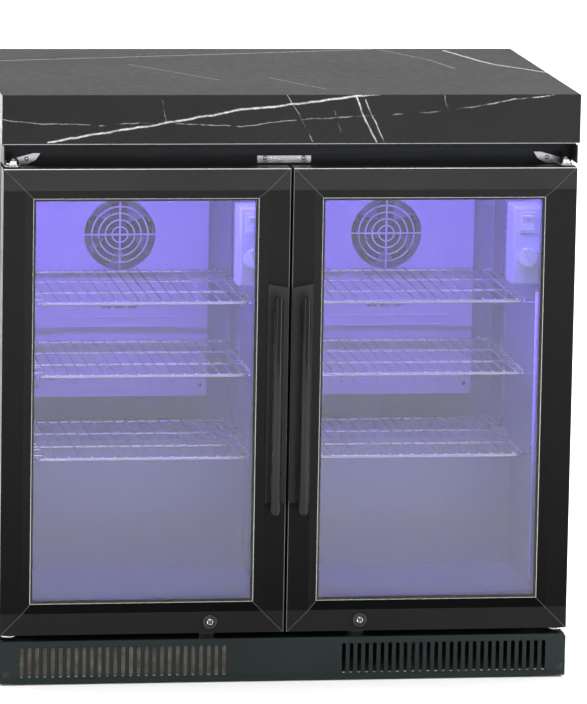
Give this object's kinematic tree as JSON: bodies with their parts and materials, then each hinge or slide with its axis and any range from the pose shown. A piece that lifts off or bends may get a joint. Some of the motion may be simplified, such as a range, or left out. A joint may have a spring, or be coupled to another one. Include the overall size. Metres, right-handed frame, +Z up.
{
  "type": "undercounter refrigerator",
  "caption": "Undercounter refrigerator with glass doors, wire shelves, a slotted kickplate and a dark veined stone-look worktop.",
  "frame": {"origin": "on the floor, under the middle of the bounding box", "axes": "+X to the right seen from the front, +Y from the doors to the back, +Z up"},
  "size_m": [0.906, 0.634, 0.93],
  "materials": {
    "worktop_stone": "polished black marble-look board with thin pale veins",
    "black_steel": "satin black powder coat",
    "fascia_black": "satin black powder coat",
    "kick_black": "satin black powder coat",
    "galvanised": "galvanised sheet",
    "foam": null,
    "liner": "brushed stainless liner",
    "filter_mesh": "open dust mesh",
    "zinc_plate": "bright zinc plate",
    "chrome": "bright nickel-chrome",
    "screw_black": "blackened screws",
    "led": "diffuser, lit violet-blue",
    "fin_aluminium": "bare aluminium fins",
    "motor_black": "satin black",
    "fan_plastic": "moulded fan",
    "compressor_black": "gloss black enamel",
    "copper": "drawn copper tube",
    "white_plastic": "moulded tray",
    "box_plastic": "moulded case",
    "door_black": "satin black anodised extrusion",
    "door_glass": "clear double glazing",
    "spacer": "bright spacer bar",
    "gasket_rubber": "soft magnetic seal",
    "handle_black": "gloss black",
    "lock_black": "gloss black",
    "wire_chrome": "chromed wire",
    "control_grey": "light grey moulded plastic",
    "switch_white": "semi-gloss pale grey",
    "foot_rubber": "black foot"
  },
  "bodies": {
    "cabinet": {"base_pan": "galvanised", "compressor": "compressor_black", "condenser": "fin_aluminium", "condenser_shroud": "black_steel", "control_box_left": "control_grey", "control_box_right": "control_grey", "drain_pan": "white_plastic", "electrical_box": "box_plastic", "evaporator_coils": "fin_aluminium", "evaporator_covers": "liner", "fan_motors": "motor_black", "fascia": "fascia_black", "filter_mesh": "filter_mesh", "foam_insulation": "foam", "front_frame": "black_steel", "hinge_brackets": "zinc_plate", "hinge_pins": "chrome", "inner_liners": "liner", "kickplate": "kick_black", "led_lamps": "led", "outer_casing": "black_steel", "rear_panel": "galvanised", "refrigerant_pipes": "copper", "screws": "screw_black", "shelf_clips": "zinc_plate", "shelf_pilasters": "liner", "worktop_aprons": "worktop_stone", "worktop_slab": "worktop_stone", "worktop_subframe": "black_steel"},
    "door_left": {"door_frame_left": "door_black", "door_glass_left": "door_glass", "glass_spacer_left": "spacer", "door_gasket_left": "gasket_rubber", "handle_left": "handle_black", "lock_body_left": "lock_black"},
    "lock_left": {"lock_plug_left": "chrome"},
    "knob_left": {"knob_left": "switch_white"},
    "rocker_left": {"rocker_left": "switch_white"},
    "evaporator_fan_left": {"evaporator_fan_left": "fan_plastic"},
    "shelf_low_left": {"shelf_low_left": "wire_chrome"},
    "shelf_middle_left": {"shelf_middle_left": "wire_chrome"},
    "shelf_top_left": {"shelf_top_left": "wire_chrome"},
    "door_right": {"door_frame_right": "door_black", "door_glass_right": "door_glass", "glass_spacer_right": "spacer", "door_gasket_right": "gasket_rubber", "handle_right": "handle_black", "lock_body_right": "lock_black"},
    "lock_right": {"lock_plug_right": "chrome"},
    "knob_right": {"knob_right": "switch_white"},
    "rocker_right": {"rocker_right": "switch_white"},
    "evaporator_fan_right": {"evaporator_fan_right": "fan_plastic"},
    "shelf_low_right": {"shelf_low_right": "wire_chrome"},
    "shelf_middle_right": {"shelf_middle_right": "wire_chrome"},
    "shelf_top_right": {"shelf_top_right": "wire_chrome"},
    "condenser_fan": {"condenser_fan": "fan_plastic"},
    "foot_front_left": {"foot_front_left": "foot_rubber"},
    "foot_front_right": {"foot_front_right": "foot_rubber"},
    "foot_rear_left": {"foot_rear_left": "foot_rubber"},
    "foot_rear_right": {"foot_rear_right": "foot_rubber"}
  },
  "joints": [
    {"name": "door_left", "type": "hinge", "parent": "cabinet", "child": "door_left", "pos_m": [-0.434, -0.263, 0.4475], "axis": [0, 0, -1], "range_deg": [0, 110], "stiffness_Nm_per_rad": 0.6, "springref_deg": -20.05},
    {"name": "lock_left", "type": "hinge", "parent": "door_left", "child": "lock_left", "pos_m": [-0.119, -0.263, 0.098], "axis": [0, 1, 0], "range_deg": [0, 90]},
    {"name": "knob_left", "type": "hinge", "parent": "cabinet", "child": "knob_left", "pos_m": [-0.047, -0.2, 0.66], "axis": [0, 1, 0], "range_deg": [-150, 150]},
    {"name": "rocker_left", "type": "hinge", "parent": "cabinet", "child": "rocker_left", "pos_m": [-0.047, -0.1895, 0.715], "axis": [-1, 0, 0], "range_deg": [0, 14]},
    {"name": "evaporator_fan_left", "type": "hinge", "parent": "cabinet", "child": "evaporator_fan_left", "pos_m": [-0.2185, 0.143, 0.65], "axis": [0, 1, 0], "continuous": true},
    {"name": "shelf_low_left", "type": "slide", "parent": "cabinet", "child": "shelf_low_left", "axis": [0, 0, 1], "range_m": [0, 0.012]},
    {"name": "shelf_middle_left", "type": "slide", "parent": "cabinet", "child": "shelf_middle_left", "axis": [0, 0, 1], "range_m": [0, 0.012]},
    {"name": "shelf_top_left", "type": "slide", "parent": "cabinet", "child": "shelf_top_left", "axis": [0, 0, 1], "range_m": [0, 0.012]},
    {"name": "door_right", "type": "hinge", "parent": "cabinet", "child": "door_right", "pos_m": [0.434, -0.263, 0.4475], "axis": [0, 0, 1], "range_deg": [0, 110], "stiffness_Nm_per_rad": 0.6, "springref_deg": -20.05},
    {"name": "lock_right", "type": "hinge", "parent": "door_right", "child": "lock_right", "pos_m": [0.119, -0.263, 0.098], "axis": [0, -1, 0], "range_deg": [0, 90]},
    {"name": "knob_right", "type": "hinge", "parent": "cabinet", "child": "knob_right", "pos_m": [0.39, -0.2, 0.66], "axis": [0, 1, 0], "range_deg": [-150, 150]},
    {"name": "rocker_right", "type": "hinge", "parent": "cabinet", "child": "rocker_right", "pos_m": [0.39, -0.1895, 0.715], "axis": [-1, 0, 0], "range_deg": [0, 14]},
    {"name": "evaporator_fan_right", "type": "hinge", "parent": "cabinet", "child": "evaporator_fan_right", "pos_m": [0.2185, 0.143, 0.65], "axis": [0, 1, 0], "continuous": true},
    {"name": "shelf_low_right", "type": "slide", "parent": "cabinet", "child": "shelf_low_right", "axis": [0, 0, 1], "range_m": [0, 0.012]},
    {"name": "shelf_middle_right", "type": "slide", "parent": "cabinet", "child": "shelf_middle_right", "axis": [0, 0, 1], "range_m": [0, 0.012]},
    {"name": "shelf_top_right", "type": "slide", "parent": "cabinet", "child": "shelf_top_right", "axis": [0, 0, 1], "range_m": [0, 0.012]},
    {"name": "condenser_fan", "type": "hinge", "parent": "cabinet", "child": "condenser_fan", "pos_m": [-0.3, 0.12, 0.14], "axis": [0, 1, 0], "continuous": true},
    {"name": "foot_front_left", "type": "hinge", "parent": "cabinet", "child": "foot_front_left", "pos_m": [-0.415, -0.205, 0.004], "axis": [0, 0, 1], "continuous": true},
    {"name": "foot_front_right", "type": "hinge", "parent": "cabinet", "child": "foot_front_right", "pos_m": [0.415, -0.205, 0.004], "axis": [0, 0, 1], "continuous": true},
    {"name": "foot_rear_left", "type": "hinge", "parent": "cabinet", "child": "foot_rear_left", "pos_m": [-0.415, 0.205, 0.004], "axis": [0, 0, 1], "continuous": true},
    {"name": "foot_rear_right", "type": "hinge", "parent": "cabinet", "child": "foot_rear_right", "pos_m": [0.415, 0.205, 0.004], "axis": [0, 0, 1], "continuous": true}
  ]
}
